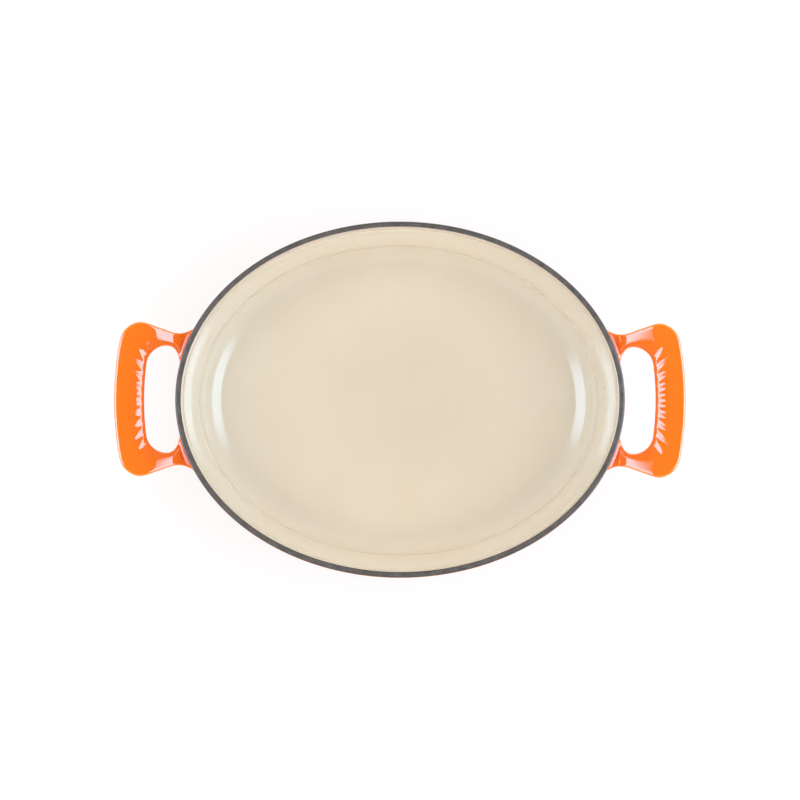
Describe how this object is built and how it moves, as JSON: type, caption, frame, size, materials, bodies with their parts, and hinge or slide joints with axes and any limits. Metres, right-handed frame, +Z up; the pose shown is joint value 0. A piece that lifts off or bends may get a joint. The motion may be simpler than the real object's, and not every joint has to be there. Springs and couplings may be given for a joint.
{
  "type": "oval casserole",
  "caption": "Open oval casserole of enamelled cast iron, orange outside and cream inside, with a matt rim and ribbed loop handles at its ends.",
  "frame": {"origin": "on the resting plane, under the middle of the oval pot", "axes": "+Z up from the foot to the rim, +X along the pot's length through both handles, +Y across its width"},
  "size_m": [0.345, 0.214, 0.11],
  "materials": {
    "cast_iron": "matte",
    "cream_enamel": "gloss",
    "orange_enamel": "gloss",
    "black_enamel": "matte",
    "base_enamel": "satin"
  },
  "bodies": {
    "root": {"iron_casting": "cast_iron", "interior_enamel": "cream_enamel", "exterior_enamel": "orange_enamel", "rim_enamel": "black_enamel", "base_enamel": "base_enamel"}
  },
  "joints": []
}
